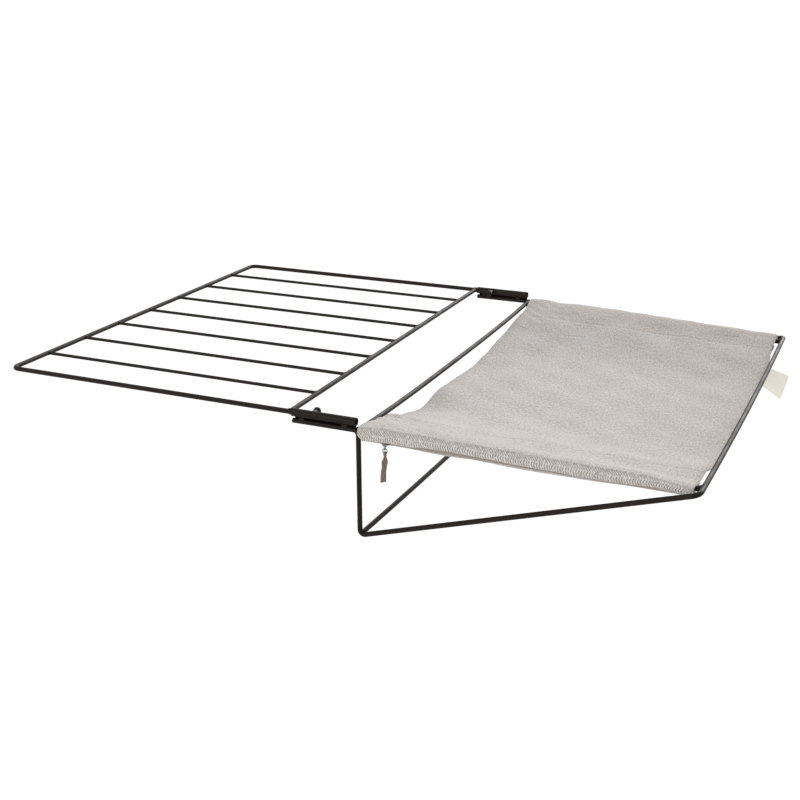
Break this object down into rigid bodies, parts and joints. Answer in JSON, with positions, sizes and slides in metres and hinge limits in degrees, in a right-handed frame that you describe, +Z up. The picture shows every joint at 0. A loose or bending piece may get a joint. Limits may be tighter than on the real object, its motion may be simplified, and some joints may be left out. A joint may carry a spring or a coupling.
{
  "type": "radiator cat bed",
  "caption": "Cloth hammock in a bent wire frame that hangs over a sill, with a sliding ladder rack, clamp screws and zipped sleeves.",
  "frame": {"origin": "middle of the front top edge of the sill or radiator that the bed hangs over: the lower rods lie on the plane Z = 0 and the legs hang down the plane X = 0", "axes": "+X out from the wall over the hammock, +Y along the sill, +Z up"},
  "size_m": [0.7524, 0.5104, 0.1222],
  "materials": {
    "paint": "satin brownish-black paint on steel wire",
    "tweed": "thick light grey-beige herringbone tweed",
    "zip_tape": "taupe woven zip tape with coil teeth",
    "dark_metal": "dark plated metal",
    "leather": "taupe leather",
    "label": "cream woven label, bare"
  },
  "bodies": {
    "hammock": {"frame_wire": "paint", "top_cross_rail": "paint", "bottom_cross_rail": "paint", "front_side_rod": "paint", "rear_side_rod": "paint", "front_tube": "paint", "rear_tube": "paint", "front_bracket_web": "paint", "rear_bracket_web": "paint", "front_screw_boss": "paint", "rear_screw_boss": "paint", "hammock_cloth": "tweed", "front_sleeve_facing": "tweed", "rear_sleeve_facing": "tweed", "front_outer_zip_tape": "zip_tape", "front_inner_zip_tape": "zip_tape", "rear_outer_zip_tape": "zip_tape", "rear_inner_zip_tape": "zip_tape", "woven_label": "label"},
    "ladder_rack": {"ladder_wire": "paint", "ladder_stop_rail": "paint", "ladder_cross_rod_1": "paint", "ladder_cross_rod_2": "paint", "ladder_cross_rod_3": "paint", "ladder_cross_rod_4": "paint", "ladder_cross_rod_5": "paint", "ladder_cross_rod_6": "paint", "ladder_cross_rod_7": "paint"},
    "front_screw": {"front_thumb_screw": "paint"},
    "rear_screw": {"rear_thumb_screw": "paint"},
    "front_slider": {"front_zip_slider": "dark_metal"},
    "rear_slider": {"rear_zip_slider": "dark_metal"},
    "front_loop": {"front_pull_loop": "dark_metal"},
    "rear_loop": {"rear_pull_loop": "dark_metal"},
    "front_strap": {"front_jump_ring": "dark_metal", "front_pull_strap": "leather"},
    "rear_strap": {"rear_jump_ring": "dark_metal", "rear_pull_strap": "leather"}
  },
  "joints": [
    {"name": "ladder_slide", "type": "slide", "parent": "hammock", "child": "ladder_rack", "axis": [-1, 0, 0], "range_m": [0, 0.04]},
    {"name": "front_screw_turn", "type": "hinge", "parent": "hammock", "child": "front_screw", "pos_m": [-0.047, -0.25, 0.0108], "axis": [0, 1, 0], "range_deg": [0, 450]},
    {"name": "rear_screw_turn", "type": "hinge", "parent": "hammock", "child": "rear_screw", "pos_m": [-0.047, 0.25, 0.0108], "axis": [0, -1, 0], "range_deg": [0, 450]},
    {"name": "front_zip_slide", "type": "slide", "parent": "hammock", "child": "front_slider", "axis": [0.9989, 0.0406, -0.0238], "range_m": [0, 0.268]},
    {"name": "rear_zip_slide", "type": "slide", "parent": "hammock", "child": "rear_slider", "axis": [0.9989, -0.0406, -0.0238], "range_m": [0, 0.268]},
    {"name": "front_pull_swing", "type": "hinge", "parent": "front_slider", "child": "front_loop", "pos_m": [0.03103, -0.25209, -0.00683], "axis": [0.0456, -0.7064, 0.7064], "range_deg": [-10, 25]},
    {"name": "rear_pull_swing", "type": "hinge", "parent": "rear_slider", "child": "rear_loop", "pos_m": [0.03103, 0.25209, -0.00683], "axis": [-0.0456, -0.7064, -0.7064], "range_deg": [-10, 25]},
    {"name": "front_strap_swing", "type": "hinge", "parent": "front_loop", "child": "front_strap", "pos_m": [0.03104, -0.25214, -0.01193], "axis": [0, -1, 0], "range_deg": [-15, 25]},
    {"name": "rear_strap_swing", "type": "hinge", "parent": "rear_loop", "child": "rear_strap", "pos_m": [0.03104, 0.25214, -0.01193], "axis": [0, -1, 0], "range_deg": [-15, 25]}
  ]
}
